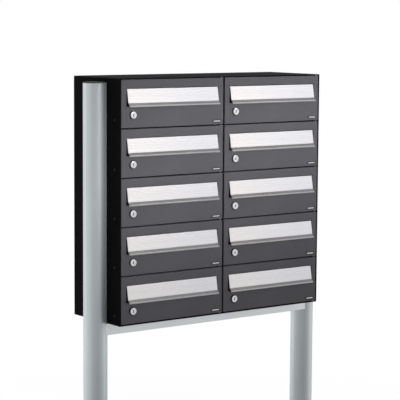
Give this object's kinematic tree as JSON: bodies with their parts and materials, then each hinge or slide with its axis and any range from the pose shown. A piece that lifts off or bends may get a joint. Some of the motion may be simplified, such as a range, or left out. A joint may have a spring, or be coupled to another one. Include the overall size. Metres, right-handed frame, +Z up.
{
  "type": "cluster mailbox unit",
  "caption": "Freestanding cluster mailbox: a metal case of lockable letter compartments with hinged doors and lifting letter flaps, carried on two round posts.",
  "frame": {"origin": "on the ground, at the centre of the unit's outer box seen from above", "axes": "+X to the right along the front, +Y from the front to the back, +Z up; the doors face -Y"},
  "size_m": [1.004, 0.2634, 1.53],
  "materials": {
    "housing_black": "fine-texture black powder coat",
    "door_grey": "fine-texture dark grey powder coat",
    "flap_stainless": "stainless steel brushed along its length",
    "lock_chrome": "chrome plate",
    "hinge_rod": "bright drawn steel",
    "stand_aluminium": "satin anodised, drawn along its length",
    "post_cap": "moulded dark grey plastic",
    "base_plate": "hot-dip galvanised"
  },
  "bodies": {
    "root": {"roof": "housing_black", "floor_panel": "housing_black", "back_panel": "housing_black", "side_panel_left": "housing_black", "side_panel_right": "housing_black", "centre_divider": "housing_black", "shelf_1": "housing_black", "shelf_2": "housing_black", "shelf_3": "housing_black", "shelf_4": "housing_black", "hinge_rod_left": "hinge_rod", "hinge_rod_right": "hinge_rod", "post_left": "stand_aluminium", "post_right": "stand_aluminium", "post_cap_left": "post_cap", "post_cap_right": "post_cap", "crossbar": "stand_aluminium", "base_plate_left": "base_plate", "base_plate_right": "base_plate"},
    "door_01": {"door_01": "door_grey", "lock_body_01": "lock_chrome"},
    "flap_01": {"flap_01": "flap_stainless"},
    "lock_01": {"lock_plug_01": "lock_chrome"},
    "door_02": {"door_02": "door_grey", "lock_body_02": "lock_chrome"},
    "flap_02": {"flap_02": "flap_stainless"},
    "lock_02": {"lock_plug_02": "lock_chrome"},
    "door_03": {"door_03": "door_grey", "lock_body_03": "lock_chrome"},
    "flap_03": {"flap_03": "flap_stainless"},
    "lock_03": {"lock_plug_03": "lock_chrome"},
    "door_04": {"door_04": "door_grey", "lock_body_04": "lock_chrome"},
    "flap_04": {"flap_04": "flap_stainless"},
    "lock_04": {"lock_plug_04": "lock_chrome"},
    "door_05": {"door_05": "door_grey", "lock_body_05": "lock_chrome"},
    "flap_05": {"flap_05": "flap_stainless"},
    "lock_05": {"lock_plug_05": "lock_chrome"},
    "door_06": {"door_06": "door_grey", "lock_body_06": "lock_chrome"},
    "flap_06": {"flap_06": "flap_stainless"},
    "lock_06": {"lock_plug_06": "lock_chrome"},
    "door_07": {"door_07": "door_grey", "lock_body_07": "lock_chrome"},
    "flap_07": {"flap_07": "flap_stainless"},
    "lock_07": {"lock_plug_07": "lock_chrome"},
    "door_08": {"door_08": "door_grey", "lock_body_08": "lock_chrome"},
    "flap_08": {"flap_08": "flap_stainless"},
    "lock_08": {"lock_plug_08": "lock_chrome"},
    "door_09": {"door_09": "door_grey", "lock_body_09": "lock_chrome"},
    "flap_09": {"flap_09": "flap_stainless"},
    "lock_09": {"lock_plug_09": "lock_chrome"},
    "door_10": {"door_10": "door_grey", "lock_body_10": "lock_chrome"},
    "flap_10": {"flap_10": "flap_stainless"},
    "lock_10": {"lock_plug_10": "lock_chrome"}
  },
  "joints": [
    {"name": "door_hinge_01", "type": "hinge", "parent": "root", "child": "door_01", "pos_m": [-0.008, -0.11326, 1.455], "axis": [0, 0, 1], "range_deg": [0, 95]},
    {"name": "flap_hinge_01", "type": "hinge", "parent": "door_01", "child": "flap_01", "pos_m": [-0.189, -0.11496, 1.4969], "axis": [-1, 0, 0], "range_deg": [0, 75]},
    {"name": "lock_turn_01", "type": "hinge", "parent": "door_01", "child": "lock_01", "pos_m": [-0.334, -0.11826, 1.422], "axis": [0, 1, 0], "range_deg": [0, 90]},
    {"name": "door_hinge_02", "type": "hinge", "parent": "root", "child": "door_02", "pos_m": [0.37, -0.11326, 1.455], "axis": [0, 0, 1], "range_deg": [0, 95]},
    {"name": "flap_hinge_02", "type": "hinge", "parent": "door_02", "child": "flap_02", "pos_m": [0.189, -0.11496, 1.4969], "axis": [-1, 0, 0], "range_deg": [0, 75]},
    {"name": "lock_turn_02", "type": "hinge", "parent": "door_02", "child": "lock_02", "pos_m": [0.044, -0.11826, 1.422], "axis": [0, 1, 0], "range_deg": [0, 90]},
    {"name": "door_hinge_03", "type": "hinge", "parent": "root", "child": "door_03", "pos_m": [-0.008, -0.11326, 1.31], "axis": [0, 0, 1], "range_deg": [0, 95]},
    {"name": "flap_hinge_03", "type": "hinge", "parent": "door_03", "child": "flap_03", "pos_m": [-0.189, -0.11496, 1.3519], "axis": [-1, 0, 0], "range_deg": [0, 75]},
    {"name": "lock_turn_03", "type": "hinge", "parent": "door_03", "child": "lock_03", "pos_m": [-0.334, -0.11826, 1.277], "axis": [0, 1, 0], "range_deg": [0, 90]},
    {"name": "door_hinge_04", "type": "hinge", "parent": "root", "child": "door_04", "pos_m": [0.37, -0.11326, 1.31], "axis": [0, 0, 1], "range_deg": [0, 95]},
    {"name": "flap_hinge_04", "type": "hinge", "parent": "door_04", "child": "flap_04", "pos_m": [0.189, -0.11496, 1.3519], "axis": [-1, 0, 0], "range_deg": [0, 75]},
    {"name": "lock_turn_04", "type": "hinge", "parent": "door_04", "child": "lock_04", "pos_m": [0.044, -0.11826, 1.277], "axis": [0, 1, 0], "range_deg": [0, 90]},
    {"name": "door_hinge_05", "type": "hinge", "parent": "root", "child": "door_05", "pos_m": [-0.008, -0.11326, 1.165], "axis": [0, 0, 1], "range_deg": [0, 95]},
    {"name": "flap_hinge_05", "type": "hinge", "parent": "door_05", "child": "flap_05", "pos_m": [-0.189, -0.11496, 1.2069], "axis": [-1, 0, 0], "range_deg": [0, 75]},
    {"name": "lock_turn_05", "type": "hinge", "parent": "door_05", "child": "lock_05", "pos_m": [-0.334, -0.11826, 1.132], "axis": [0, 1, 0], "range_deg": [0, 90]},
    {"name": "door_hinge_06", "type": "hinge", "parent": "root", "child": "door_06", "pos_m": [0.37, -0.11326, 1.165], "axis": [0, 0, 1], "range_deg": [0, 95]},
    {"name": "flap_hinge_06", "type": "hinge", "parent": "door_06", "child": "flap_06", "pos_m": [0.189, -0.11496, 1.2069], "axis": [-1, 0, 0], "range_deg": [0, 75]},
    {"name": "lock_turn_06", "type": "hinge", "parent": "door_06", "child": "lock_06", "pos_m": [0.044, -0.11826, 1.132], "axis": [0, 1, 0], "range_deg": [0, 90]},
    {"name": "door_hinge_07", "type": "hinge", "parent": "root", "child": "door_07", "pos_m": [-0.008, -0.11326, 1.02], "axis": [0, 0, 1], "range_deg": [0, 95]},
    {"name": "flap_hinge_07", "type": "hinge", "parent": "door_07", "child": "flap_07", "pos_m": [-0.189, -0.11496, 1.0619], "axis": [-1, 0, 0], "range_deg": [0, 75]},
    {"name": "lock_turn_07", "type": "hinge", "parent": "door_07", "child": "lock_07", "pos_m": [-0.334, -0.11826, 0.987], "axis": [0, 1, 0], "range_deg": [0, 90]},
    {"name": "door_hinge_08", "type": "hinge", "parent": "root", "child": "door_08", "pos_m": [0.37, -0.11326, 1.02], "axis": [0, 0, 1], "range_deg": [0, 95]},
    {"name": "flap_hinge_08", "type": "hinge", "parent": "door_08", "child": "flap_08", "pos_m": [0.189, -0.11496, 1.0619], "axis": [-1, 0, 0], "range_deg": [0, 75]},
    {"name": "lock_turn_08", "type": "hinge", "parent": "door_08", "child": "lock_08", "pos_m": [0.044, -0.11826, 0.987], "axis": [0, 1, 0], "range_deg": [0, 90]},
    {"name": "door_hinge_09", "type": "hinge", "parent": "root", "child": "door_09", "pos_m": [-0.008, -0.11326, 0.875], "axis": [0, 0, 1], "range_deg": [0, 95]},
    {"name": "flap_hinge_09", "type": "hinge", "parent": "door_09", "child": "flap_09", "pos_m": [-0.189, -0.11496, 0.9169], "axis": [-1, 0, 0], "range_deg": [0, 75]},
    {"name": "lock_turn_09", "type": "hinge", "parent": "door_09", "child": "lock_09", "pos_m": [-0.334, -0.11826, 0.842], "axis": [0, 1, 0], "range_deg": [0, 90]},
    {"name": "door_hinge_10", "type": "hinge", "parent": "root", "child": "door_10", "pos_m": [0.37, -0.11326, 0.875], "axis": [0, 0, 1], "range_deg": [0, 95]},
    {"name": "flap_hinge_10", "type": "hinge", "parent": "door_10", "child": "flap_10", "pos_m": [0.189, -0.11496, 0.9169], "axis": [-1, 0, 0], "range_deg": [0, 75]},
    {"name": "lock_turn_10", "type": "hinge", "parent": "door_10", "child": "lock_10", "pos_m": [0.044, -0.11826, 0.842], "axis": [0, 1, 0], "range_deg": [0, 90]}
  ]
}
